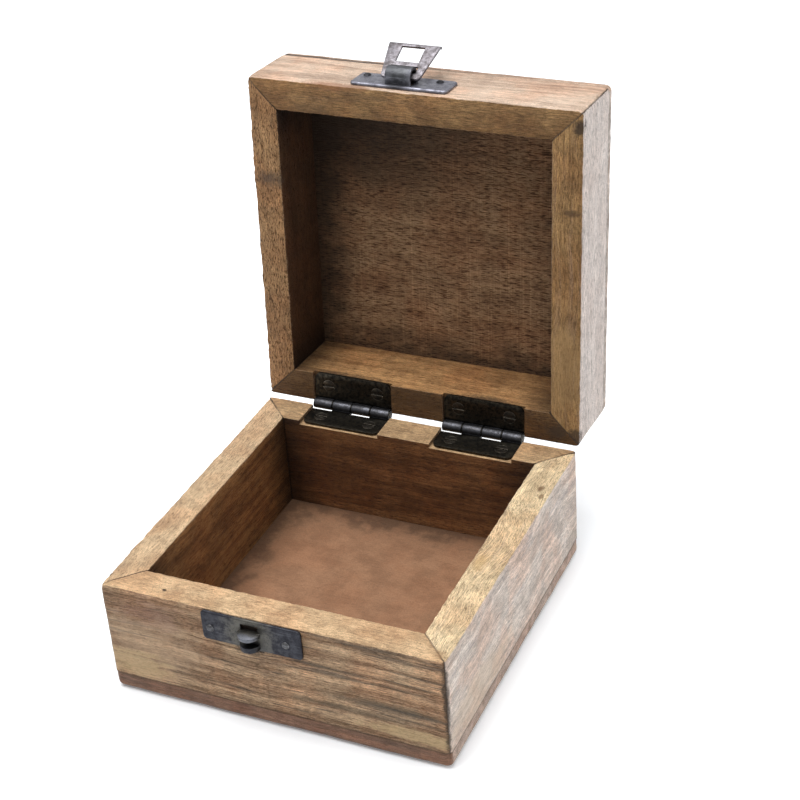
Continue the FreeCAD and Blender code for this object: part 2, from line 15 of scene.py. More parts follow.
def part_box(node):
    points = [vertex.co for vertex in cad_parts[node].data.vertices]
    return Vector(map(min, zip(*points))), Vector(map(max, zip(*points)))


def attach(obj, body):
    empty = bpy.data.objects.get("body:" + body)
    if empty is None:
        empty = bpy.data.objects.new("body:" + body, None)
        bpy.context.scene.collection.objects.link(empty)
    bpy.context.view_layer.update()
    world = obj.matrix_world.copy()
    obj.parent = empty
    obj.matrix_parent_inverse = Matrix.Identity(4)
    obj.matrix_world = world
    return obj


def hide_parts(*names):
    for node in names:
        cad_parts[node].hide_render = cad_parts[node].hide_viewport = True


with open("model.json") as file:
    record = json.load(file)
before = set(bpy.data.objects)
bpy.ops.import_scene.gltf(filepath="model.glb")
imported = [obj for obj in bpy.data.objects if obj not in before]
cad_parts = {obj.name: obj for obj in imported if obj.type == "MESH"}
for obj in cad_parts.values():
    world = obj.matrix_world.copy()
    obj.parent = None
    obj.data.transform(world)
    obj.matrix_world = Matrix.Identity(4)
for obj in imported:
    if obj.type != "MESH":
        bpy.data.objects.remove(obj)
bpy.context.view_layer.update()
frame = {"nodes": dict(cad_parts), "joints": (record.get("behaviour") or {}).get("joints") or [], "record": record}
scene = bpy.context.scene
scene.view_settings.view_transform = "Standard"
MM = 0.001
print("solids:", len(frame["nodes"]))

# %% [markdown]
# ## The lid is worked on while shut
# The lid stands open in the frame, turned back on its hinge pins. Boards are easier to measure and
# cut square to the axes, so the lid is made as if it were shut and is swung open when it is done.
# The hinge's own place and range give the turn.

# %% Lid shut and open
BODIES = frame["record"]["behaviour"]["bodies"]
LID_NODES = set(BODIES["lid"])
lid_hinge = next(joint for joint in frame["joints"] if joint["name"] == "lid_hinge")
hinge_pin = Vector(lid_hinge["pos_m"])
lid_opening = math.radians(-lid_hinge["range_deg"][0])
to_pin = Matrix.Translation(hinge_pin)
shut_to_open = to_pin @ Matrix.Rotation(-lid_opening, 4, "X") @ to_pin.inverted()
open_to_shut = shut_to_open.inverted()


def shut_box(node):
    """The box of a CAD node, in metres, with the lid's nodes turned back to the shut lid."""
    turn = open_to_shut if node in LID_NODES else Matrix.Identity(4)
    points = [turn @ vertex.co for vertex in frame["nodes"][node].data.vertices]
    low = Vector([min(point[axis] for point in points) for axis in range(3)])
    high = Vector([max(point[axis] for point in points) for axis in range(3)])
    return low, high


print("lid opened by", round(math.degrees(lid_opening), 1), "degrees")

# %% [markdown]
# ## The camera
# The box is seen from above and from its right, through a fairly long lens, with the camera held a
# few degrees out of level. A camera can be aimed by a constraint, but three turns in a row keep the
# slant in plain sight: heading, tilt and roll.

# %% Camera
CAMERA_PLACE = Vector((0.19387, -0.36256, 0.32176))
CAMERA_YAW = math.radians(25.779)
CAMERA_PITCH = math.radians(-31.379)
CAMERA_ROLL = math.radians(-4.220)
CAMERA_LENS = 81.384
CAMERA_SENSOR = 36
bpy.ops.object.select_all(action="DESELECT")
bpy.ops.object.camera_add(location=CAMERA_PLACE)
camera = bpy.context.object
heading = Matrix.Rotation(CAMERA_YAW, 4, "Z")
tilt = Matrix.Rotation(math.pi / 2 + CAMERA_PITCH, 4, "X")
roll = Matrix.Rotation(CAMERA_ROLL, 4, "Z")
camera.matrix_world = Matrix.Translation(CAMERA_PLACE) @ heading @ tilt @ roll
camera.data.lens = CAMERA_LENS
camera.data.sensor_width = CAMERA_SENSOR
scene.camera = camera
print("camera stands", round(CAMERA_PLACE.length, 3), "m away")

# %% [markdown]
# ## Writing materials as sums
# Every material here is a small calculation on the place of a point. A node could be added and
# linked by hand for each step, but that is long to read. Wrapping a node's output in a class lets
# the calculation be written as an ordinary sum instead.

# %% Values in sums
class Value:
    """A socket of a node tree that can be used in sums."""

    def __init__(self, socket):
        self.socket = socket

    def maths(self, operation, *others, turned=False):
        terms = (others[0], self) if turned else (self, *others)
        inputs = dict(enumerate(terms))
        return Tree(self.socket.id_data).node("Math", {"operation": operation}, inputs)

    def __add__(self, other):
        return self.maths("ADD", other)

    def __sub__(self, other):
        return self.maths("SUBTRACT", other)

    def __rsub__(self, other):
        return self.maths("SUBTRACT", other, turned=True)

    def __mul__(self, other):
        return self.maths("MULTIPLY", other)

    def __truediv__(self, other):
        return self.maths("DIVIDE", other)

    def __rtruediv__(self, other):
        return self.maths("DIVIDE", other, turned=True)

    __radd__ = __add__
    __rmul__ = __mul__

    def __abs__(self):
        return self.maths("ABSOLUTE")

    def larger(self, other):
        return self.maths("MAXIMUM", other)

    def smaller(self, other):
        return self.maths("MINIMUM", other)


# %% [markdown]
# ## One way to make any node
# A node needs its settings before its inputs, because a setting can change which inputs there are.
# One method does both in that order. The others name the few nodes that come back all the time:
# an eased ramp, a mix of two colours, a noise, and a spot with a ragged edge, used for real stains
# and for painted light and shade.

# %% Node trees
RAGGED_SIZE = 14.0
SPOT_FADE = (0.35, 1.0)


class Tree:
    """A node tree, with short ways to make the nodes that the materials use."""

    def __init__(self, tree):
        self.tree = tree

    def node(self, kind, settings=None, inputs=None, output=0):
        """Make any node: its settings first, then its inputs as values or links."""
        made = self.tree.nodes.new("ShaderNode" + kind)
        for setting, value in (settings or {}).items():
            setattr(made, setting, value)
        for key, value in (inputs or {}).items():
            socket = made.inputs[key]
            if isinstance(value, Value):
                self.tree.links.new(value.socket, socket)
            elif getattr(socket, "type", "") == "RGBA" and len(value) == 3:
                socket.default_value = (*value, 1)
            else:
                socket.default_value = value
        return Value(made.outputs[output]) if len(made.outputs) else made

    def ramp(self, value, start, end):
        """0 at start, 1 at end, eased between them."""
        return self.node("MapRange", {"interpolation_type": "SMOOTHSTEP"},
                         {"Value": value, "From Min": start, "From Max": end})

    def mix(self, first, second, share, how="MIX"):
        """The first colour, with a share of the second one."""
        settings = {"data_type": "RGBA", "blend_type": how}
        return self.node("Mix", settings, {0: share, 6: first, 7: second}, 2)

    def tinted(self, colour, tint):
        """The colour times a tint."""
        return self.mix(colour, tint, 1.0, "MULTIPLY")

    def vector(self, operation, *terms, scale=None):
        inputs = dict(enumerate(terms))
        if scale is not None:
            inputs["Scale"] = scale
        output = 1 if operation in ("LENGTH", "DOT_PRODUCT") else 0
        return self.node("VectorMath", {"operation": operation}, inputs, output)

    def split(self, vector):
        return [self.node("SeparateXYZ", None, {0: vector}, axis) for axis in range(3)]

    def noise(self, place, scale, detail, roughness=0.5, output=0):
        inputs = {"Vector": place, "Scale": scale, "Detail": detail, "Roughness": roughness}
        return self.node("TexNoise", None, inputs, output)

    def with_spot(self, colour, place, ragged, stain):
        """The colour with a spot on it, used for real stains and for painted light and shade: its spot, its size,
        its shade and its strength.
        """
        spot, size, shade, strength = stain
        shrink = tuple(1 / length for length in size)
        away = self.vector("MULTIPLY", self.vector("SUBTRACT", place, spot), shrink)
        raggedness = min(1.0, RAGGED_SIZE / max(size))
        share = 1 - self.ramp(self.vector("LENGTH", away) + raggedness * ragged, *SPOT_FADE)
        return self.mix(colour, shade, share * strength)


def new_material(name):
    """A material with its tree and its shader."""
    material = bpy.data.materials.new(name)
    material.use_nodes = True
    return material, Tree(material.node_tree), material.node_tree.nodes["Principled BSDF"]


def bumpy_surface(material, shader, colour, roughness, bump):
    """Link what changes over the surface to the shader."""
    links = {"Base Color": colour, "Roughness": roughness, "Normal": bump}
    for socket, value in links.items():
        material.node_tree.links.new(value.socket, shader.inputs[socket])


# %% [markdown]
# ## The floor
# The picture stands on white, with only a narrow soft shadow at the box's foot. A plain white floor
# would turn grey, so the floor that the camera sees glows: little beside the box, where the shadow
# has to stay, and more beyond. The light bounces from a plainer floor.

# %% Floor
FLOOR_SIZE = 6.0
FLOOR_BOUNCE = (0.85, 0.85, 0.85)
FLOOR_SHADOWED = (0.92, 0.94, 0.96)
FLOOR_GLOW = (0.94, 0.97, 1.0)
FLOOR_GLOW_NEAR = 0.17
FLOOR_GLOW_FAR = 0.50
FLOOR_SHADE_MIDDLE = (-0.008, -0.008, 0)
FLOOR_SHADE_HALF = (0.042, 0.042, 0)
FLOOR_NEAR, FLOOR_FAR = 0.004, 0.036


def seen_ray(tree):
    """1 for a ray from the camera, or seen in a mirror or through glass."""
    rays = [tree.node("LightPath", None, None, kind)
            for kind in ("Is Camera Ray", "Is Glossy Ray", "Is Transmission Ray")]
    return rays[0].larger(rays[1]).larger(rays[2])


bpy.ops.mesh.primitive_plane_add(size=FLOOR_SIZE)
floor = bpy.context.object
floor.name = "studio_floor"
floor_material = bpy.data.materials.new("studio_floor")
floor_material.use_nodes = True
floor_material.node_tree.nodes.clear()
tree = Tree(floor_material.node_tree)
place = tree.node("TexCoord", None, None, "Object")
from_middle = tree.vector("SUBTRACT", place, FLOOR_SHADE_MIDDLE)
past_side = tree.vector("SUBTRACT", tree.vector("ABSOLUTE", from_middle), FLOOR_SHADE_HALF)
from_box = tree.vector("LENGTH", tree.vector("MAXIMUM", past_side, (0, 0, 0)))
beyond = tree.ramp(from_box, FLOOR_NEAR, FLOOR_FAR)
glows = [tree.node("Emission", None, {"Color": FLOOR_GLOW, "Strength": strength})
         for strength in (FLOOR_GLOW_NEAR, FLOOR_GLOW_FAR)]
glow = tree.node("MixShader", None, {0: beyond, 1: glows[0], 2: glows[1]})
shadowed = tree.node("BsdfDiffuse", None, {"Color": FLOOR_SHADOWED})
lit = tree.node("AddShader", None, {0: shadowed, 1: glow})
bounce = tree.node("BsdfDiffuse", None, {"Color": FLOOR_BOUNCE})
floor_shader = tree.node("MixShader", None, {0: seen_ray(tree), 1: bounce, 2: lit})
tree.node("OutputMaterial", None, {0: floor_shader})
floor.data.materials.append(floor_material)
print("floor of", FLOOR_SIZE, "m")

# %% [markdown]
# ## The room
# The room is white to the camera. To the metal it is brighter from above and behind than from the
# front, so that round metal has a light side and a dark side, and it lights the wood only a little:
# the lamps do that.

# %% Room
ROOM_DIFFUSE = 0.30
ROOM_BRIGHT_SIDE = Vector((0.15, 0.55, 0.82)).normalized()
ROOM_FADE = (-0.5, 0.6)
ROOM_DARKEST = 0.35

scene.world = bpy.data.worlds.new("studio_room")
scene.world.use_nodes = True
scene.world.node_tree.nodes.clear()
tree = Tree(scene.world.node_tree)
direction = tree.node("TexCoord", None, None, "Generated")
side = tree.vector("DOT_PRODUCT", direction, ROOM_BRIGHT_SIDE)
room = ROOM_DARKEST + (1 - ROOM_DARKEST) * tree.ramp(side, *ROOM_FADE)
in_metal = tree.node("LightPath", None, None, "Is Glossy Ray")
room = room * (ROOM_DIFFUSE + (1 - ROOM_DIFFUSE) * in_metal)
in_camera = tree.node("LightPath", None, None, "Is Camera Ray")
room = room + (1 - room) * in_camera
background = tree.node("Background", None, {"Color": (1, 1, 1), "Strength": room})
tree.node("OutputWorld", None, {0: background})
print("room of", len(scene.world.node_tree.nodes), "nodes")

# %% [markdown]
# ## The lamps
# Two square softboxes light the box. The large one hangs above and a little to the left, so the rims
# are bright and the front is darker; the small one fills the right side and its pale boards.

# %% Lamps
LAMP_TARGET = Vector((0, 0, 0.05))
LAMPS = {"softbox_top": (Vector((-0.15, -0.10, 0.95)), 0.8, 11.5),
         "softbox_right": (Vector((0.95, 0.30, 0.40)), 0.6, 2.4)}

for name, (place, size, power) in LAMPS.items():
    bpy.ops.object.light_add(type="AREA", location=place)
    lamp = bpy.context.object
    lamp.name = name
    lamp.data.shape = "SQUARE"
    lamp.data.size = size
    lamp.data.energy = power
    lamp.rotation_euler = (LAMP_TARGET - place).to_track_quat("-Z", "Y").to_euler()
    print(name, power, "W")

# %% [markdown]
# ## Starting and picking
# The boards are all made the same way, so the few moves that come back are named once. A block is
# started at its place, and its edges are picked by where they lie and how sharp they are, which is
# what a modeller does with the mouse.

# %% Blocks and picking
NEAR = 1e-6
ALONG_SHARE = 0.99
SHARP = math.radians(45)


def start_block(name, low, high):
    """A block between two corners, left in edit mode."""
    bpy.ops.object.select_all(action="DESELECT")
    bpy.ops.mesh.primitive_cube_add(size=1, location=(low + high) / 2, scale=high - low)
    piece = bpy.context.object
    piece.name = name
    piece.data.name = name
    bpy.ops.object.transform_apply(location=True, rotation=True, scale=True)
    bpy.ops.object.mode_set(mode="EDIT")
    return piece


def pick_edges(piece, test):
    """Select the edges that pass the test, and nothing else."""
    bpy.ops.mesh.select_mode(type="EDGE")
    bpy.ops.mesh.select_all(action="DESELECT")
    mesh = bmesh.from_edit_mesh(piece.data)
    for edge in mesh.edges:
        if test(edge):
            edge.select_set(True)
    bmesh.update_edit_mesh(piece.data)


def runs_along(edge, axis):
    way = edge.verts[1].co - edge.verts[0].co
    return abs(way[axis]) > ALONG_SHARE * way.length


def on_level(edge, height):
    return all(abs(vertex.co.z - height) < NEAR for vertex in edge.verts)


def is_sharp(edge):
    return edge.calc_face_angle(0) > SHARP


def select_only(piece):
    bpy.ops.object.select_all(action="DESELECT")
    bpy.context.view_layer.objects.active = piece
    piece.select_set(True)


# %% [markdown]
# ## A grid to wear down
# Worn wood is a little out of true everywhere, and a block of six faces has nothing to bend. So a
# block is first cut into a fine grid. Its outermost strips are left whole, because an edge can be
# rounded cleanly only where the faces beside it are wider than the rounding.

# %% Grid
CUT_NEAR = 1e-7
MOST_CUTS = 100


def grid(piece, low, high, pitch, margins):
    """Cut a block into strips of about the given pitch, except within the margins at its ends."""
    for axis in range(3):
        start = low[axis] + margins[axis][0]
        stop = high[axis] - margins[axis][1]
        way = Vector([float(axis == index) for index in range(3)])
        for height, margin in zip((start, stop), margins[axis]):
            if margin:
                bpy.ops.mesh.select_all(action="SELECT")
                bpy.ops.mesh.bisect(plane_co=height * way, plane_no=way, threshold=CUT_NEAR)

        def to_cut(edge):
            within = all(start - NEAR < vertex.co[axis] < stop + NEAR for vertex in edge.verts)
            return within and runs_along(edge, axis)

        pick_edges(piece, to_cut)
        cuts = max(1, round((stop - start) / pitch[axis]) - 1)
        if cuts > MOST_CUTS:
            bpy.ops.mesh.subdivide(number_cuts=1)
            pick_edges(piece, to_cut)
            cuts = min(MOST_CUTS, cuts // 2)
        bpy.ops.mesh.subdivide(number_cuts=cuts)


# %% [markdown]
# ## Rounding, wear and saw cuts
# An edge is rounded with a bevel. Wear is a cloudy noise that pushes almost only inwards, so that
# nothing outgrows the solids; a weight can keep it near an edge. A saw cut is a bisect that drops what lies
# beyond it, with the cut's own edge broken a little.

# %% Rounding, wear and saw cuts
WEAR_LEVEL = 0.95
WEAR_DETAIL = 2
JOINT_ROUND = 0.08 * MM


def soften(piece, test, width, steps):
    """Round the edges that pass the test."""
    pick_edges(piece, test)
    bpy.ops.mesh.bevel(offset=width, segments=steps, profile=0.5, affect="EDGES")


def wear(piece, name, size, depth, weight=lambda place: 1.0):
    """Push the surface in by up to depth, by a cloudy noise of the given size."""
    group = piece.vertex_groups.new(name=name)
    for vertex in piece.data.vertices:
        group.add([vertex.index], weight(vertex.co), "REPLACE")
    clouds = bpy.data.textures.new(name, type="CLOUDS")
    clouds.noise_scale = size
    clouds.noise_depth = WEAR_DETAIL
    modifier = piece.modifiers.new(name, "DISPLACE")
    modifier.texture = clouds
    modifier.texture_coords = "LOCAL"
    modifier.vertex_group = name
    modifier.strength = depth
    modifier.mid_level = WEAR_LEVEL
    bpy.ops.object.modifier_apply(modifier=name)
    piece.vertex_groups.clear()


def saw(piece, place, away):
    """Saw the piece through at a plane, drop the part beyond it and break the cut's edge."""
    bpy.ops.object.mode_set(mode="EDIT")
    bpy.ops.mesh.select_all(action="SELECT")
    bpy.ops.mesh.bisect(plane_co=place, plane_no=away, use_fill=True, clear_outer=True,
                        threshold=CUT_NEAR)
    way = Vector(away).normalized()

    def on_cut(edge):
        return all(abs((vertex.co - Vector(place)).dot(way)) < NEAR for vertex in edge.verts)

    soften(piece, lambda edge: on_cut(edge) and is_sharp(edge), JOINT_ROUND, 1)
    bpy.ops.object.mode_set(mode="OBJECT")


def cut_away(piece, low, high):
    """Cut a block out of a finished piece."""
    cutter = start_block("cutter", low, high)
    bpy.ops.object.mode_set(mode="OBJECT")
    select_only(piece)
    modifier = piece.modifiers.new("cut", "BOOLEAN")
    modifier.object = cutter
    modifier.operation = "DIFFERENCE"
    modifier.solver = "EXACT"
    bpy.ops.object.modifier_apply(modifier="cut")
    bpy.data.objects.remove(cutter)


# %% [markdown]
# ## Handing a piece over
# A finished piece takes the place of one solid and moves with that solid's body. The lid's boards
# are still shut at this point, so they are swung open here, and their place is applied to the mesh,
# because the frame wants every object at the origin.

# %% Hand-over
WOOD_SMOOTH = math.radians(35)
METAL_SMOOTH = math.radians(40)


def settle(piece, node, material, smooth):
    """Open the lid's boards, smooth the shading and hand the piece to its body."""
    body = next(name for name, nodes in BODIES.items() if node in nodes)
    select_only(piece)
    if node in LID_NODES and piece.get("made_shut"):
        piece.matrix_world = shut_to_open
        bpy.ops.object.transform_apply(location=True, rotation=True, scale=True)
    bpy.ops.object.shade_smooth_by_angle(angle=smooth)
    piece.data.materials.clear()
    piece.data.materials.append(material)
    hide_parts(node)
    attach(piece, body)
    print(piece.name, len(piece.data.polygons), "faces, on", body)


# %% [markdown]
# ## Sawn wood: places and layers
# The box is cheap sawn wood that has been stained and handled: bands of light and dark along the
# board, thin lines and grey streaks, fine fibres and short open pores. An image could show them, but
# a noise that is stretched along the grain has no seams and no size limit. All lengths are in
# millimetres on the shut box.

# %% Wood places and layers
WARP_SCALE = 0.035
# Length, width, detail and roughness of each streak's noise, and where it starts and ends
STREAKS = {"bands": (60, 2.8, 3, 0.55, 0.38, 0.62), "lines": (26, 0.45, 3, 0.6, 0.48, 0.66),
           "fibre": (3.2, 0.22, 2, 0.55, 0.30, 0.70), "grey": (45, 1.7, 4, 0.62, 0.52, 0.66)}
# Scale, detail and roughness of each cloud's noise, and where it starts and ends
CLOUDS = {"blotch": (0.13, 4, 0.65, 0.36, 0.64), "warmth": (0.07, 3, 0.6, 0.40, 0.65)}
PORE_WIDTH, PORE_ROUGHNESS, PORE_FADE = 0.26, 0.55, 0.10
FUZZ = (1.6, 3, 0.7)
SPECKLE, SPECKLE_FADE = (3.6, 2, 0.7), (0.30, 0.70)


def wood_places(tree, along, seed, wave, lid):
    """The place on the shut box, the way a face looks, and the place along a wavy grain."""
    place = tree.node("TexCoord", None, None, "Object")
    normal = tree.node("TexCoord", None, None, "Normal")
    if lid:
        back = {"Location": open_to_shut.to_translation(), "Rotation": (lid_opening, 0, 0)}
        place = tree.node("Mapping", None, {"Vector": place, **back})
        turned = {"Vector": normal, "Rotation": back["Rotation"]}
        normal = tree.node("Mapping", {"vector_type": "VECTOR"}, turned)
    place = tree.vector("SCALE", place, scale=1 / MM)
    turn = (0, 0, 0) if along == "X" else (0, 0, math.pi / 2)
    board = tree.node("Mapping", None, {"Vector": place, "Location": seed, "Rotation": turn})
    warp = tree.noise(board, WARP_SCALE, 1, output=1)
    return place, normal, tree.vector("ADD", board, tree.vector("SCALE", warp, scale=wave))


def wood_layers(tree, place, board, looks):
    """The layers of the grain, each from 0 to 1."""
    pore = looks["open_pore"]
    pores = (looks["pore_length"], PORE_WIDTH, 1, PORE_ROUGHNESS, pore, pore + PORE_FADE)
    layers = {}
    for name, (length, width, detail, roughness, low, high) in {**STREAKS, "pores": pores}.items():
        stretch = {"Vector": board, "Scale": (1 / length, 1 / width, 1 / width)}
        streak = tree.noise(tree.node("Mapping", None, stretch), 1.0, detail, roughness)
        layers[name] = tree.ramp(streak, low, high)
    for name, (scale, detail, roughness, low, high) in CLOUDS.items():
        layers[name] = tree.ramp(tree.noise(board, scale, detail, roughness), low, high)
    layers["fuzz"] = tree.noise(place, *FUZZ)
    layers["speckle"] = tree.ramp(tree.noise(place, *SPECKLE), *SPECKLE_FADE)
    return layers


print("layers along the grain:", *STREAKS, *CLOUDS)

# %% [markdown]
# ## Sawn wood: outside, rim and inside
# The same board is pale outside, yellow or brown on its rim and dark inside. Three materials could
# be given to three sets of faces, but their border would be too clean. Here the way a face looks
# and its distance from the middle give three soft shares, and each layer has a strength in each.

# %% Wood zones and colour
INNER_FADE = (1.2, 0.5)
RIM_FACING = (0.45, 0.85)
LIT_RIGHT_FACING = (0.3, 0.8)
LIT_FRONT_FACING = (-0.05, -0.45)
WARM_TINT = (1.10, 0.86, 0.74)
LIGHT_TINT = (1.28, 1.26, 1.20)
DARK_TINT = (0.58, 0.51, 0.45)
LINE_TINT = (0.50, 0.42, 0.36)
PORE_TINT = (0.26, 0.21, 0.18)
FUZZ_STRENGTH = 0.5


def wood_zones(tree, reach, facing, looks):
    """The shares of the outside, the rim and the inside."""
    inner = tree.ramp(reach, *(looks["inner_edge"] + fade for fade in INNER_FADE))
    rim = tree.ramp(facing, *RIM_FACING)
    if looks["panel"]:
        inner = inner * rim
        return 1 - inner, 0.0, inner
    inner = inner * (1 - rim)
    return (1 - rim) * (1 - inner), rim, inner


def wood_colour(tree, normal, layers, zones, looks):
    """The colour of the grain, before joints, stains and painted shade."""
    outer, rim, inner = zones
    to_right, to_rear = tree.split(normal)[:2]

    def strength(layer):
        outside_level, rim_level, inside_level = looks[layer]
        return outer * outside_level + rim * rim_level + inner * inside_level

    def darkened(colour, tint, layer):
        return tree.mix(colour, tree.tinted(colour, tint), layers[layer] * strength(layer))

    outside = looks["outside"]
    # A panel's faces to the right and to the front take lighter colours: painted light and sheen.
    lit_right_side = looks.get("lit_right_side", outside)
    lit_front_side = looks.get("lit_front_side", outside)
    tint = tree.mix(outside, lit_right_side, tree.ramp(to_right, *LIT_RIGHT_FACING))
    tint = tree.mix(tint, lit_front_side, tree.ramp(to_rear, *LIT_FRONT_FACING))
    tint = tree.mix(tree.mix(tint, looks["rim"], rim), looks["inside"], inner)
    tint = darkened(tint, WARM_TINT, "warmth")
    dark = layers["blotch"] * strength("blotch") + layers["bands"] * strength("bands")
    colour = tree.mix(tree.tinted(tint, LIGHT_TINT), tree.tinted(tint, DARK_TINT), dark)
    colour = tree.mix(colour, looks["grey_colour"], layers["grey"] * strength("grey"))
    colour = darkened(colour, LINE_TINT, "lines")
    colour = darkened(colour, PORE_TINT, "pores")
    light = 1 + FUZZ_STRENGTH * (layers["fuzz"] - 0.5)
    for layer in ("speckle", "fibre"):
        light = light + strength(layer) * (layers[layer] - 0.5)
    return tree.vector("SCALE", colour, scale=light)


# %% [markdown]
# ## Sawn wood: edges, joints and stains
# Handling has rubbed the edges pale, and dirt has settled in the mitres and along the glued seam;
# the inner corners, and a panel's inner face along the walls, are darkened with painted shade. These
# lie at known places of the box, so their distance is measured rather than left to a noise, and only
# their borders are made ragged.

# %% Wood edges, joints, stains and painted shade
WORN_WOOD = (0.60, 0.45, 0.31)
ARRIS_START, ARRIS_END, ARRIS_PATCHES = (0.12, 0.45), (0.80, 0.96), (0.42, 0.58)
MITRE_DIRT, MITRE_FADE = (0.05, 0.030, 0.018), (0.10, 0.50)
MITRE_RAGGED, MITRE_PATCHES = 0.7, 0.5
CORNER_REACH, CORNER_SHADE = 20.0, 0.72
HEM_REACH, HEM_RAGGED, HEM_SHADE = 11.0, 7.0, 0.65
SEAM_DIRT, SEAM_FADE, SEAM_RAGGED = (0.05, 0.032, 0.022), (0.10, 0.55), 0.5
SAW_SCALE, SAW_FADE = (2.2, 0.015, 0.015), (0.50, 0.70)
STREAKY_SPOTS = 0.6


def worn_edges(tree, colour, facing, layers, looks):
    """Rubbed wood between the outside and the rim."""
    arris = tree.ramp(facing, *ARRIS_START) * (1 - tree.ramp(facing, *ARRIS_END))
    arris = arris * tree.ramp(layers["fuzz"], *ARRIS_PATCHES)
    return tree.mix(colour, WORN_WOOD, arris * looks["edge"])


def joints_dirt_and_shade(tree, colour, place, reach, layers, zones, looks):
    """Dirt in the mitres and the seam, painted shade in the inner corners and along a panel's edges by the walls,
    and saw marks on a panel.
    """
    outer, inner = zones[0], zones[2]
    x, y, z = tree.split(place)
    inner_edge = looks["inner_edge"]
    rough = layers["fuzz"] - 0.5
    if looks["panel"]:
        # A panel is darkened along the walls: painted shade.
        from_wall = inner_edge - reach + HEM_RAGGED * (layers["blotch"] - 0.5)
        hem = 1 - tree.ramp(from_wall, 0.0, HEM_REACH)
        colour = tree.vector("SCALE", colour, scale=1 - HEM_SHADE * hem * inner)
    else:
        mitre = 1 - tree.ramp(abs(abs(x) - abs(y)) + MITRE_RAGGED * rough, *MITRE_FADE)
        dirt = looks["mitre"] + MITRE_PATCHES * layers["warmth"]
        colour = tree.mix(colour, MITRE_DIRT, mitre * dirt)
        # The walls are darkened towards the inner corners: painted shade.
        corner = 1 - tree.ramp(inner_edge - abs(x).smaller(abs(y)), 0.0, CORNER_REACH)
        colour = tree.vector("SCALE", colour, scale=1 - CORNER_SHADE * corner * corner * inner)
    seam = 1 - tree.ramp(abs(z - looks["seam"]) + SEAM_RAGGED * rough, *SEAM_FADE)
    colour = tree.mix(colour, SEAM_DIRT, seam * outer * looks["seam_depth"])
    if looks["saw_marks"]:
        ticks = tree.node("Mapping", None, {"Vector": place, "Scale": SAW_SCALE})
        saw_marks = tree.ramp(tree.noise(ticks, 1.0, 2, 0.7), *SAW_FADE)
        colour = tree.vector("SCALE", colour, scale=1 + looks["saw_marks"] * saw_marks * inner)
    return colour


def wood_stains_and_shade(tree, colour, place, layers, zones, looks):
    """The stains and painted shades of a board, drawn out along the grain outside."""
    streaky = 0.0 if looks["panel"] else STREAKY_SPOTS
    ragged = (0.8 * (layers["fuzz"] - 0.5) + 0.5 * (layers["blotch"] - 0.5)
              + streaky * (layers["bands"] - 0.5) * zones[0])
    for stain in looks["stains_and_shade"]:
        colour = tree.with_spot(colour, place, ragged, stain)
    return colour


# %% [markdown]
# ## Sawn wood: the whole material
# The layers that give the colour also give the relief: pores and lines are cut in, fibres stand up.
# Using the same layers twice keeps a dark pore and its hollow in one place. A plain board's looks
# stand here, and each board later says only where it differs.

# %% Wood material
PLAIN_WOOD = {
    "bands": (0.5, 0.2, 0.5), "lines": (0.5, 0.15, 0.4), "pores": (0.45, 0.45, 0.6),
    "blotch": (0.45, 0.5, 0.45), "grey": (0.35, 0.1, 0.0), "warmth": (0.5, 0.35, 0.4),
    "speckle": (0.35, 0.45, 0.35), "fibre": (0.5, 0.6, 0.5),
    "wave": 3.0, "open_pore": 0.56, "pore_length": 1.6, "grey_colour": (0.10, 0.080, 0.062),
    "edge": 0.3, "mitre": 0.45, "seam_depth": 0.55, "relief": 0.7, "saw_marks": 0.0,
    "stains_and_shade": (), "panel": False}
RELIEF = {"fuzz": 0.5, "speckle": 0.25, "fibre": 0.4, "pores": -0.8, "lines": -0.3, "bands": 0.2}
RELIEF_DEPTH = 0.3 * MM
WOOD_ROUGHNESS = 0.55
WOOD_SHINE = 0.25


def wood(name, along, seed, looks, lid):
    """Sawn wood with its grain along X or Y."""
    looks = {**PLAIN_WOOD, **looks}
    material, tree, shader = new_material(name)
    place, normal, board = wood_places(tree, along, seed, looks["wave"], lid)
    layers = wood_layers(tree, place, board, looks)
    x, y = tree.split(place)[:2]
    reach = abs(x).larger(abs(y))
    facing = tree.split(normal)[2] * looks["rim_way"]
    zones = wood_zones(tree, reach, facing, looks)
    colour = wood_colour(tree, normal, layers, zones, looks)
    colour = worn_edges(tree, colour, facing, layers, looks)
    colour = joints_dirt_and_shade(tree, colour, place, reach, layers, zones, looks)
    colour = wood_stains_and_shade(tree, colour, place, layers, zones, looks)
    relief = sum(layers[layer] * height for layer, height in RELIEF.items())
    bump = tree.node("Bump", None, {"Strength": looks["relief"], "Distance": RELIEF_DEPTH,
                                    "Height": relief})
    roughness = WOOD_ROUGHNESS + 0.25 * (layers["fuzz"] - 0.5) + 0.15 * layers["pores"]
    shader.inputs["Specular IOR Level"].default_value = WOOD_SHINE
    bumpy_surface(material, shader, colour, roughness, bump)
    return material
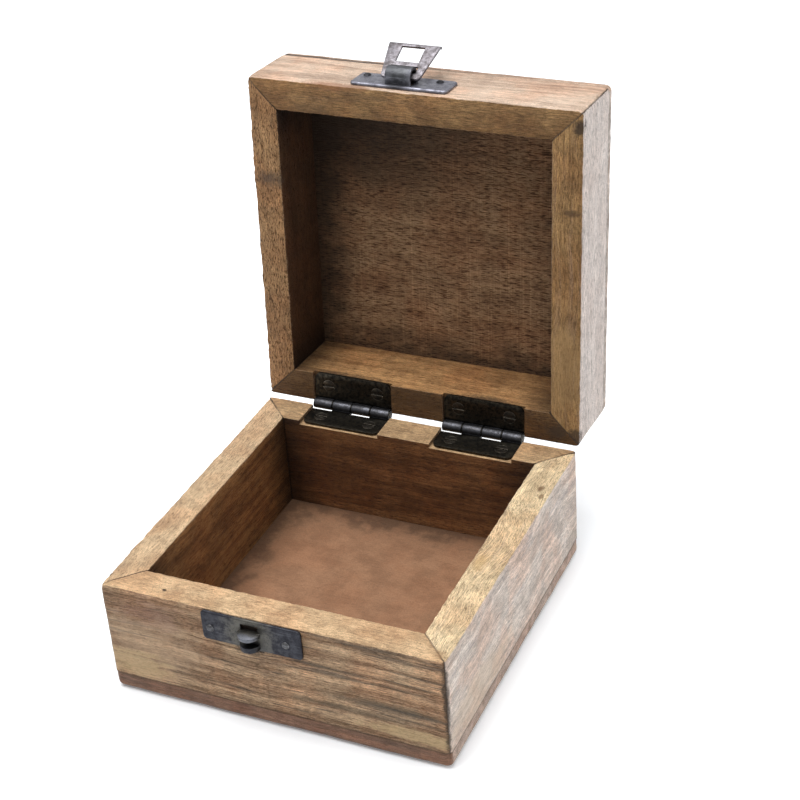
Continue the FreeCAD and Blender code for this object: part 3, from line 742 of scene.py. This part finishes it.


# %% [markdown]
# ## The looks of the base
# Each wall differs: the front is brown with grey streaks and a painted shadow round the catch, the
# right side is pale and grey, partly its own tone and partly painted sheen and light from the right,
# and the rims are the yellow of bare wood. A layer's three numbers are its strength outside, on the
# rim and inside. A stain or a painted shade has its spot, its size, its shade and its strength.

# %% Base looks
BASE_RIM = shut_box("base_front_wall")[1].z / MM
BASE_FRONT = shut_box("base_front_wall")[0].y / MM
BASE = {"inner_edge": shut_box("base_right_wall")[0].x / MM, "rim_way": 1.0,
        "seam": shut_box("base_bottom_panel")[1].z / MM}
# Soot, also used for the painted shadows behind the hinges.
SOOT_AND_SHADOW = (0.045, 0.028, 0.018)
WEATHERED = (0.10, 0.08, 0.055)
RUST = (0.27, 0.15, 0.07)
BASE_LOOKS = {
    "front": {
        **BASE, "outside": (0.52, 0.37, 0.24), "rim": (0.57, 0.405, 0.25), "inside": (0.24, 0.115, 0.05),
        "bands": (0.85, 0.2, 0.5), "lines": (0.75, 0.15, 0.4), "grey": (0.75, 0.05, 0.0),
        "pores": (0.5, 0.25, 0.5), "fibre": (0.5, 0.4, 0.5), "wave": 2.0,
        "stains_and_shade": [((-38.0, BASE_FRONT, 18.0), (24.0, 4.0, 14.0), (0.60, 0.43, 0.285), 0.45),
                   ((-34.0, BASE_FRONT, 29.0), (16.0, 4.0, 6.0), (0.31, 0.175, 0.13), 0.45),
                   ((-44.0, BASE_FRONT, 11.0), (14.0, 4.0, 5.0), (0.60, 0.44, 0.24), 0.6),
                   ((40.0, BASE_FRONT, 9.0), (15.0, 4.0, 3.0), (0.58, 0.43, 0.23), 0.6),
                   ((34.0, BASE_FRONT, 16.2), (26.0, 4.0, 2.0), WEATHERED, 0.65),
                   ((22.0, BASE_FRONT, 12.4), (24.0, 4.0, 1.3), WEATHERED, 0.6),
                   ((48.0, -46.8, BASE_RIM), (3.0, 2.6, 1.5), RUST, 0.6),
                   # Painted shadow on the wall round the catch.
                   ((-4.5, BASE_FRONT, 29.0), (6.0, 3.0, 5.0), (0.02, 0.012, 0.008), 1.0),
                   ((-31.5, -46.5, BASE_RIM), (0.8, 0.6, 1.5), SOOT_AND_SHADOW, 0.95),
                   ((49.3, -49.3, 21.0), (1.2, 1.2, 20.0), SOOT_AND_SHADOW, 0.85)]},
    "rear": {
        **BASE, "outside": (0.36, 0.25, 0.16), "rim": (0.48, 0.33, 0.19), "inside": (0.22, 0.105, 0.043),
        "bands": (0.5, 0.2, 0.7), "lines": (0.5, 0.15, 0.7)},
    "left": {
        **BASE, "outside": (0.38, 0.265, 0.18), "rim": (0.54, 0.40, 0.26), "inside": (0.28, 0.145, 0.058),
        "bands": (0.5, 0.15, 0.7), "lines": (0.5, 0.1, 0.6), "pores": (0.45, 0.55, 0.6),
        "fibre": (0.5, 0.35, 0.5)},
    "right": {
        # The pale grey outside is partly the wood's own tone and partly painted sheen and light from the right.
        **BASE, "outside": (0.765, 0.70, 0.665), "rim": (0.66, 0.53, 0.35), "inside": (0.20, 0.095, 0.04),
        "bands": (0.45, 0.1, 0.5), "lines": (0.35, 0.05, 0.4), "grey": (0.4, 0.1, 0.0),
        "blotch": (0.3, 0.55, 0.4), "pores": (0.25, 0.5, 0.5), "grey_colour": (0.42, 0.36, 0.37),
        "wave": 6.0,
        "stains_and_shade": [((50.0, -30.0, 11.0), (5.0, 30.0, 8.0), (0.62, 0.47, 0.33), 0.5),
                   ((46.2, 29.0, BASE_RIM), (1.4, 2.4, 2.0), (0.17, 0.095, 0.045), 0.85),
                   ((47.6, 25.5, BASE_RIM), (0.8, 1.6, 2.0), (0.20, 0.12, 0.06), 0.8),
                   ((42.5, -8.0, BASE_RIM), (3.0, 6.0, 2.0), (0.50, 0.31, 0.12), 0.5),
                   ((47.0, -47.6, BASE_RIM), (2.4, 3.0, 1.5), RUST, 0.6),
                   ((49.3, -49.3, 21.0), (1.2, 1.2, 20.0), SOOT_AND_SHADOW, 0.75)]},
}
print("base rim at", round(BASE_RIM, 2), "mm")

# %% [markdown]
# ## The looks of the lid
# The lid's rim is darker than the base's, with a sooty corner, a knot and painted shadows behind the
# hinges, and its inside is painted nearly black at the edges, as painted shade under the rails. The
# lid is described shut, so its rim looks down.

# %% Lid looks
LID_RIM = shut_box("lid_front_rail")[0].z / MM
LID = {"inner_edge": shut_box("lid_right_rail")[0].x / MM, "rim_way": -1.0,
       "seam": shut_box("lid_top_panel")[0].z / MM}
LID_LOOKS = {
    "front": {
        **LID, "outside": (0.57, 0.445, 0.36), "rim": (0.25, 0.148, 0.064), "inside": (0.09, 0.045, 0.024),
        "bands": (0.5, 0.2, 0.5), "lines": (0.45, 0.15, 0.4), "pores": (0.15, 0.25, 0.6),
        "blotch": (0.25, 0.6, 0.4), "grey": (0.0, 0.15, 0.0), "fibre": (0.35, 0.8, 0.5),
        "edge": 0.15, "seam_depth": 0.15,
        "stains_and_shade": [((-22.0, -50.3, 36.0), (10.0, 2.2, 2.6), (0.24, 0.10, 0.045), 0.6),
                   ((-30.0, -42.5, LID_RIM), (9.0, 2.0, 3.0), (0.13, 0.075, 0.035), 0.5)]},
    "rear": {
        **LID, "outside": (0.33, 0.22, 0.15), "rim": (0.125, 0.068, 0.027), "inside": (0.47, 0.27, 0.12),
        "bands": (0.4, 0.3, 0.6), "lines": (0.5, 0.3, 0.5), "mitre": 0.8,
        "stains_and_shade": [((43.0, 47.0, LID_RIM), (6.0, 3.4, 3.0), SOOT_AND_SHADOW, 0.75),
                   # Painted shadows of the hinge leaves on the rail's inside.
                   ((-21.9, 41.0, 36.0), (15.0, 3.0, 4.0), SOOT_AND_SHADOW, 0.8),
                   ((20.4, 41.0, 36.0), (15.0, 3.0, 4.0), SOOT_AND_SHADOW, 0.8),
                   ((0.0, 45.0, LID_RIM), (8.0, 5.0, 3.0), (0.09, 0.045, 0.018), 0.5)]},
    "left": {
        **LID, "outside": (0.36, 0.25, 0.17), "rim": (0.36, 0.215, 0.105), "inside": (0.09, 0.045, 0.022),
        "bands": (0.5, 0.15, 0.4), "pores": (0.45, 1.0, 0.5), "pore_length": 1.2, "open_pore": 0.54,
        "stains_and_shade": [((-45.0, -20.0, LID_RIM), (6.0, 3.6, 3.0), (0.10, 0.07, 0.05), 0.75)]},
    "right": {
        # The pale grey outside is partly the wood's own tone and partly painted sheen and light from the right.
        **LID, "outside": (0.70, 0.64, 0.63), "rim": (0.36, 0.225, 0.10), "inside": (0.11, 0.055, 0.03),
        "bands": (0.2, 0.3, 0.5), "lines": (0.25, 0.45, 0.4), "pores": (0.45, 0.55, 0.5),
        "blotch": (0.15, 0.5, 0.4), "grey": (0.15, 0.1, 0.0), "warmth": (0.1, 0.35, 0.4),
        "grey_colour": (0.45, 0.41, 0.42), "mitre": 0.7,
        "stains_and_shade": [((49.2, -45.5, LID_RIM), (2.2, 2.6, 3.0), SOOT_AND_SHADOW, 0.9),
                   ((46.5, -21.0, LID_RIM), (4.5, 1.4, 3.0), (0.09, 0.05, 0.025), 0.75),
                   ((45.0, 26.0, LID_RIM), (7.0, 24.0, 3.0), (0.45, 0.285, 0.13), 0.5),
                   ((48.5, 48.0, LID_RIM), (3.4, 3.6, 3.0), SOOT_AND_SHADOW, 0.85)]},
}
print("lid rim at", round(LID_RIM, 2), "mm when shut")

# %% [markdown]
# ## Boards with mitred ends
# A wall of the box is a board sawn off at 45 degrees at both ends. It is made as the carpenter
# makes it: a plain block, its edges eased and worn, its ends sawn through the corner of the square,
# and the saw cut's own edge broken a little, which leaves the fine dark groove seen at each corner.

# %% A mitred board
OUTWARD = {"front": Vector((0, -1, 0)), "rear": Vector((0, 1, 0)),
           "left": Vector((-1, 0, 0)), "right": Vector((1, 0, 0))}
SPARE = 3.0 * MM
PITCH_ALONG = 0.6 * MM
PITCH_ACROSS = 1.6 * MM
CORNER_ROUND = 1.7 * MM
BOARD_MARGIN = 1.2 * CORNER_ROUND
ROUND_STEPS = 5
ARRIS_ROUND = 0.6 * MM
ARRIS_STEPS = 3
WARP_SIZE, BOARD_WARP, STIFF_WARP = 14 * MM, 0.25 * MM, 0.12 * MM
ROUGH_SIZE, BOARD_ROUGH = 2.6 * MM, 0.12 * MM
KNOCK_SIZE, KNOCK_REACH = 4.0 * MM, 2.5 * MM
FRAY_SIZE, FRAY_REACH, FRAY_DEPTH = 1.1 * MM, 1.8 * MM, 0.5 * MM


def board(node, side, knocks):
    """A mitred board in place of a CAD node, with the lid's boards still shut."""
    low, high = shut_box(node)
    out = OUTWARD[side]
    along = Vector((abs(out.y), abs(out.x), 0))
    axis = 0 if along.x else 1
    outer_face = max(low.dot(out), high.dot(out))
    inner_face = min(low.dot(out), high.dot(out))
    rim_level, glue_level, glue_way = (low.z, high.z, 1) if node in LID_NODES else (high.z, low.z, -1)
    low.z = min(low.z, glue_level + glue_way * SPARE)
    high.z = max(high.z, glue_level + glue_way * SPARE)
    piece = start_block(node + "_wood", low, high)
    piece["made_shut"] = True
    pitch = [PITCH_ALONG if index == axis else PITCH_ACROSS for index in range(3)]
    grid(piece, low, high, pitch, [(BOARD_MARGIN, BOARD_MARGIN)] * 3)

    def outer_corner(edge):
        return all(abs(vertex.co.dot(out) - outer_face) < NEAR
                   and abs(abs(vertex.co[axis]) - outer_face) < NEAR for vertex in edge.verts)

    def near_arris(place, face_depth, reach):
        return max(0.0, 1 - max(abs(place.z - rim_level), face_depth) / reach)

    def near_outer(place):
        return near_arris(place, outer_face - place.dot(out), KNOCK_REACH)

    def near_inner(place):
        return near_arris(place, place.dot(out) - inner_face, FRAY_REACH)

    soften(piece, outer_corner, CORNER_ROUND, ROUND_STEPS)
    arris = ARRIS_ROUND if knocks else ARRIS_ROUND / 2
    soften(piece, lambda edge: on_level(edge, rim_level) and is_sharp(edge), arris, ARRIS_STEPS)
    bpy.ops.object.mode_set(mode="OBJECT")
    wear(piece, "warp", WARP_SIZE, BOARD_WARP if knocks else STIFF_WARP)
    wear(piece, "rough", ROUGH_SIZE, BOARD_ROUGH)
    if knocks:
        wear(piece, "knocks", KNOCK_SIZE, knocks, near_outer)
        wear(piece, "fray", FRAY_SIZE, FRAY_DEPTH, lambda place: max(near_outer(place), near_inner(place)))
    saw(piece, (0, 0, glue_level), (0, 0, glue_way))
    for end in (1, -1):
        saw(piece, (0, 0, 0), end * along - out)
    return piece


# %% [markdown]
# ## Walls and rails
# Four walls make the base and four rails the lid. The two rear boards also have shallow gains, the
# seats that are chiselled out for the hinge leaves; a boolean cut makes each a little wider than its
# leaf. Each side has its own seed, and its wall and its rail lie at their own heights in the noise,
# so that no two boards show the same piece of wood.

# %% Walls and rails
KNOCKS = {"front": 0.35 * MM, "rear": 0.0, "left": 0.8 * MM, "right": 0.45 * MM}
GAIN_PLAY = 0.4 * MM
FIRST_SEED = Vector((0.0, 7.0, 11.0))
SEED_STEP = Vector((17.0, 31.0, 5.0))


def cut_gains(piece, node):
    """Chisel the seats of the hinge leaves out of a rear board."""
    leaf_kind = "lid_leaf" if node in LID_NODES else "base_leaf"
    board_low, board_high = shut_box(node)
    for hand in ("left", "right"):
        low, high = shut_box(f"{hand}_hinge_{leaf_kind}")
        low = Vector((low.x - GAIN_PLAY, board_low.y - MM, low.z))
        high = Vector((high.x + GAIN_PLAY, board_high.y + MM, high.z))
        if node in LID_NODES:
            low.z = board_low.z - MM
        else:
            high.z = board_high.z + MM
        cut_away(piece, low, high)


for order, side in enumerate(OUTWARD):
    grain_way = "X" if side in ("front", "rear") else "Y"
    seed = FIRST_SEED + order * SEED_STEP
    for node, looks, slot in ((f"base_{side}_wall", BASE_LOOKS[side], "base_wood"),
                              (f"lid_{side}_rail", LID_LOOKS[side], "lid_wood")):
        piece = board(node, side, KNOCKS[side])
        if side == "rear":
            cut_gains(piece, node)
        material = wood(f"wood_{node}", grain_way, seed, looks, node in LID_NODES)
        settle(piece, node, material, WOOD_SMOOTH)

# %% [markdown]
# ## The bottom and the top
# Two thin panels close the frames of boards. Their outer edges are rounded over by hand, and the
# side that shows inside the box is stained darker than the edges and darkened along the walls with
# painted shade; the edges that face right or front are painted lighter, as painted light and sheen.
# They are made as the boards are, only with a larger rounding and no mitres.

# %% Panels
PANEL_SEED = (3.0, 90.0, 40.0)
PANEL_PITCH = (1.6 * MM, 1.6 * MM, 1.4 * MM)
PANEL_ROUND = 2.1 * MM
PANEL_CORNER = 2.0 * MM
PANEL_MARGIN = 1.1 * PANEL_ROUND
PANEL_WARP = 0.35 * MM
PANEL_ROUGH = 0.14 * MM
DEEP_SHADE = (0.028, 0.016, 0.010)
PANELS = {
    "base_bottom_panel": ("bottom_wood", {
        **BASE, "panel": True, "outside": (0.25, 0.145, 0.10), "rim": (0.25, 0.145, 0.10),
        # Its right edge is painted lighter: painted light from the right.
        "inside": (0.255, 0.139, 0.081), "lit_right_side": (0.50, 0.40, 0.35), "relief": 0.35,
        "bands": (0.4, 0.0, 0.08), "lines": (0.3, 0.0, 0.05), "pores": (0.3, 0.0, 0.0),
        "blotch": (0.4, 0.0, 0.40), "warmth": (0.4, 0.0, 0.2), "speckle": (0.3, 0.0, 0.25),
        "fibre": (0.5, 0.0, 0.12)}),
    "lid_top_panel": ("lid_wood", {
        **LID, "panel": True, "outside": (0.58, 0.46, 0.37), "rim": (0.58, 0.46, 0.37),
        # Its right and front edges are painted lighter: painted light and sheen.
        "inside": (0.30, 0.185, 0.105), "lit_right_side": (0.74, 0.68, 0.66), "lit_front_side": (0.62, 0.48, 0.39),
        "bands": (0.6, 0.0, 0.35), "lines": (0.5, 0.0, 0.3), "pores": (0.45, 0.0, 1.0),
        "blotch": (0.4, 0.0, 0.4), "grey": (0.3, 0.0, 0.0), "warmth": (0.4, 0.0, 0.4),
        "saw_marks": 0.3, "pore_length": 2.2, "open_pore": 0.53, "seam_depth": 0.15,
        # Painted shade on the inside under the front and left rails.
        "stains_and_shade": [((-42.0, -46.0, 57.0), (84.0, 50.0, 2.6), DEEP_SHADE, 0.95),
                   ((-44.0, 0.0, 57.0), (20.0, 60.0, 2.6), DEEP_SHADE, 0.5)]}),
}


def panel(node):
    """A panel in place of a CAD node, rounded on its outer side."""
    low, high = shut_box(node)
    half = high.x
    outer_level, inner_level, inward = (high.z, low.z, -1) if node in LID_NODES else (low.z, high.z, 1)
    low.z = min(low.z, inner_level + inward * SPARE)
    high.z = max(high.z, inner_level + inward * SPARE)
    piece = start_block(node + "_wood", low, high)
    piece["made_shut"] = True
    beside = (PANEL_MARGIN, PANEL_MARGIN)
    rise = (0, PANEL_MARGIN) if node in LID_NODES else (PANEL_MARGIN, 0)
    grid(piece, low, high, PANEL_PITCH, (beside, beside, rise))

    def upright(edge):
        return all(abs(abs(vertex.co.x) - half) < NEAR and abs(abs(vertex.co.y) - half) < NEAR
                   for vertex in edge.verts)

    soften(piece, upright, PANEL_CORNER, ROUND_STEPS)
    soften(piece, lambda edge: on_level(edge, outer_level) and is_sharp(edge), PANEL_ROUND, ROUND_STEPS)
    bpy.ops.object.mode_set(mode="OBJECT")
    wear(piece, "warp", WARP_SIZE, PANEL_WARP)
    wear(piece, "rough", ROUGH_SIZE, PANEL_ROUGH)
    saw(piece, (0, 0, inner_level), (0, 0, inward))
    return piece


for node, (slot, looks) in PANELS.items():
    piece = panel(node)
    material = wood(f"wood_{node}", "X", PANEL_SEED, looks, node in LID_NODES)
    settle(piece, node, material, WOOD_SMOOTH)

# %% [markdown]
# ## Blackened metal
# The hinges, the plates and the link are thin pressed steel, blackened or left grey, with mottled
# stain, fine scratches and bare metal where fingers have rubbed the edges. A Bevel node tells where
# an edge is, because it turns the normal there, so no map of the edges has to be painted.

# %% Metal material
EDGE_RADIUS, EDGE_FADE = 0.25 * MM, (0.01, 0.15)
MOTTLE_SCALE, MOTTLE_FADE = 0.55, (0.36, 0.66)
SPECKS, SPECKS_FADE = (3.1, 2, 0.6), (0.56, 0.70)
SCRATCHES = {"Rotation": (0.5, 0.3, 0.6), "Scale": (0.12, 3.0, 3.0)}
SCRATCH_FADE = (0.63, 0.70)
METAL_BUMP = 0.35
METAL_DEPTH = 0.08 * MM


def metal(name, colour, stain, roughness, edge, spread=1.0, knuckle=None, stains_and_shade=()):
    """Pressed steel of a colour, mottled with a stain; edge says how bare its edges are."""
    material, tree, shader = new_material(name)
    place = tree.vector("SCALE", tree.node("TexCoord", None, None, "Object"), scale=1 / MM)
    mottle = tree.ramp(tree.noise(place, MOTTLE_SCALE * spread, 4, 0.62), *MOTTLE_FADE)
    specks = tree.ramp(tree.noise(place, *SPECKS), *SPECKS_FADE)
    drawn_out = tree.node("Mapping", None, {"Vector": place, **SCRATCHES})
    scratches = tree.ramp(tree.noise(drawn_out, 1.0, 2), *SCRATCH_FADE)
    rounded = tree.node("Bevel", {"samples": 4}, {"Radius": EDGE_RADIUS})
    flat = tree.node("NewGeometry", None, None, "Normal")
    edges = tree.ramp(1 - tree.vector("DOT_PRODUCT", rounded, flat), *EDGE_FADE)
    shade = tree.mix(colour, stain, mottle)
    for spot_mark in stains_and_shade:
        shade = tree.with_spot(shade, place, 0.3 * (mottle - 0.5), spot_mark)
    if knuckle is not None:
        shade = knuckles(tree, shade, place, mottle, stain, knuckle)
    bare = tuple(min(0.6, channel * 2.2 + 0.03) for channel in colour)
    shade = tree.mix(shade, tuple(channel * 0.45 for channel in stain), specks * 0.7)
    shade = tree.mix(shade, bare, edges * edge)
    shade = tree.mix(shade, bare, scratches * 0.25)
    rough = roughness + 0.16 * mottle + 0.12 * specks - 0.08 * edges
    height = mottle * 0.4 + specks * -0.3 - scratches * 0.2
    bump = tree.node("Bump", None, {"Strength": METAL_BUMP, "Distance": METAL_DEPTH, "Height": height})
    shader.inputs["Metallic"].default_value = 1.0
    bumpy_surface(material, shader, shade, rough, bump)
    return material


# %% [markdown]
# ## The knuckles of a hinge
# The leaves of a butt hinge are rolled round the pin in turn. On the real hinge the rolls are a
# little bluer than the leaves, and here they are also painted lighter as a painted sheen, with
# painted shade in the gap between one knuckle and the next and in the crease beside them. The
# distance from the pin and the steps along it tell where these are.

# %% Hinge knuckles
KNUCKLE_REACH = 1.75
KNUCKLE_EDGE = 0.05
KNUCKLE_SHADE_REACH = 0.9
KNUCKLE_COUNT = 4
leaf_low, leaf_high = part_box("left_hinge_base_leaf")
KNUCKLE_STEP = (leaf_high[0] - leaf_low[0]) / KNUCKLE_COUNT / MM
KNUCKLE_BLUE_SHEEN = (0.085, 0.087, 0.100)
KNUCKLE_GAP_SHADE, KNUCKLE_GAP_FADE = (0.004, 0.004, 0.004), (0.15, 0.40)


def knuckles(tree, shade, place, mottle, stain, middle):
    """Blue rolls with a painted sheen, with painted shade in their gaps and beside them, on a hinge whose middle
    is at the given X.
    """
    from_pin = tree.vector("SUBTRACT", place, tuple(hinge_pin / MM))
    from_pin = tree.vector("LENGTH", tree.vector("MULTIPLY", from_pin, (0, 1, 1)))
    roll_end = KNUCKLE_REACH + KNUCKLE_EDGE
    on_roll = 1 - tree.ramp(from_pin, KNUCKLE_REACH, roll_end)
    # Painted shade in the crease beside the roll, and a painted sheen on the roll.
    beside = (1 - tree.ramp(from_pin, roll_end, KNUCKLE_REACH + KNUCKLE_SHADE_REACH)) * (1 - on_roll)
    shade = tree.mix(shade, tuple(channel * 0.3 for channel in stain), beside)
    shade = tree.mix(shade, KNUCKLE_BLUE_SHEEN, on_roll * (1 - 0.5 * mottle))
    # Painted shade in the gaps between the knuckles.
    step = abs((tree.split(place)[0] - middle) / KNUCKLE_STEP).maths("PINGPONG", 0.5)
    gap = 1 - tree.ramp(step * KNUCKLE_STEP, *KNUCKLE_GAP_FADE)
    return tree.mix(shade, KNUCKLE_GAP_SHADE, gap * on_roll)


print("knuckles of", round(KNUCKLE_STEP, 2), "mm")

# %% [markdown]
# ## The metal pieces
# The construction already has the real shape of every leaf, screw, plate and nail, so each solid is
# copied and only its sharp edges are eased, which makes them catch the light as pressed metal does.
# The catch and the hasp also have painted shade in their hollows and under the hook, and a painted
# highlight on the hook's top, at their own spots.

# %% Metal pieces
DOUBLES = 1e-6
FLAT_ENOUGH = math.radians(0.5)
EASED_ANGLE = math.radians(35)
EASED_STEPS = 2


def eased_copy(node, width):
    """A copy of a CAD node with its sharp edges eased."""
    piece = bpy.data.objects.new(node + "_metal", frame["nodes"][node].data.copy())
    scene.collection.objects.link(piece)
    select_only(piece)
    bpy.ops.object.mode_set(mode="EDIT")
    bpy.ops.mesh.select_all(action="SELECT")
    bpy.ops.mesh.remove_doubles(threshold=DOUBLES)
    bpy.ops.mesh.dissolve_limited(angle_limit=FLAT_ENOUGH)
    bpy.ops.object.mode_set(mode="OBJECT")
    modifier = piece.modifiers.new("ease", "BEVEL")
    modifier.width = width
    modifier.segments = EASED_STEPS
    modifier.limit_method = "ANGLE"
    modifier.angle_limit = EASED_ANGLE
    bpy.ops.object.modifier_apply(modifier="ease")
    return piece


# The catch: its own olive middle, a painted highlight on the hook's top and painted shade under the hook.
CATCH_TONE_LIGHT_AND_SHADE = [((-4.9, -51.0, 30.5), (9.0, 3.0, 12.0), (0.095, 0.09, 0.078), 0.9),
                ((-4.5, -54.2, 31.4), (6.5, 3.6, 2.2), (0.135, 0.14, 0.158), 0.9),
                ((-4.5, -53.0, 27.2), (5.5, 5.0, 2.6), (0.030, 0.031, 0.036), 0.85)]
# The hasp: its eye darker, with painted shade on the eye's lower front and in its roll.
HASP_TONE_AND_SHADE = [((-4.5, 63.8, 141.2), (7.5, 6.5, 4.2), (0.075, 0.078, 0.080), 0.85),
               ((-4.5, 60.9, 137.4), (5.2, 1.9, 2.2), (0.018, 0.018, 0.020), 0.9),
               ((-4.5, 63.8, 139.0), (8.0, 3.0, 3.0), (0.012, 0.012, 0.013), 1.0)]
# The catch plate is the same steel as the hasp plate; its much darker colour is painted shade for the dark front
# that it mirrors.
catch_grey = metal("gunmetal_catch", (0.043, 0.044, 0.052), (0.026, 0.026, 0.032), 0.38, 0.5,
                   stains_and_shade=CATCH_TONE_LIGHT_AND_SHADE)
catch_nail = metal("grey_nail", (0.12, 0.12, 0.125), (0.07, 0.07, 0.075), 0.35, 0.5)
hasp_grey = metal("gunmetal_hasp", (0.215, 0.215, 0.25), (0.13, 0.13, 0.155), 0.42, 0.15,
                  stains_and_shade=HASP_TONE_AND_SHADE)
hasp_nail = metal("dark_nail", (0.035, 0.035, 0.04), (0.015, 0.015, 0.017), 0.5, 0.1)
link_grey = metal("worn_link", (0.25, 0.235, 0.255), (0.12, 0.108, 0.112), 0.45, 0.2)
screw_black = metal("blackened_screw", (0.075, 0.064, 0.050), (0.03, 0.027, 0.024), 0.38, 0.7)
metal_pieces = [("catch_plate", catch_grey, "plate_steel", 0.12 * MM),
                ("catch_nails", catch_nail, "plate_steel", 0.2 * MM),
                ("hasp_plate", hasp_grey, "plate_steel", 0.08 * MM),
                ("hasp_nails", hasp_nail, "plate_steel", 0.15 * MM),
                ("hasp_link", link_grey, "link_steel", 0.10 * MM)]
for hand in ("left", "right"):
    low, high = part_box(f"{hand}_hinge_base_leaf")
    hinge_black = metal(f"blackened_{hand}_hinge", (0.066, 0.058, 0.044), (0.014, 0.013, 0.012),
                        0.36, 0.35, 1.5, (low[0] + high[0]) / 2 / MM)
    for kind, finish, width in (("base_leaf", hinge_black, 0.18), ("lid_leaf", hinge_black, 0.18),
                                ("pin", screw_black, 0.12), ("base_screws", screw_black, 0.14),
                                ("lid_screws", screw_black, 0.14)):
        metal_pieces.append((f"{hand}_hinge_{kind}", finish, "hinge_steel", width * MM))
for node, finish, slot, width in metal_pieces:
    settle(eased_copy(node, width), node, finish, METAL_SMOOTH)
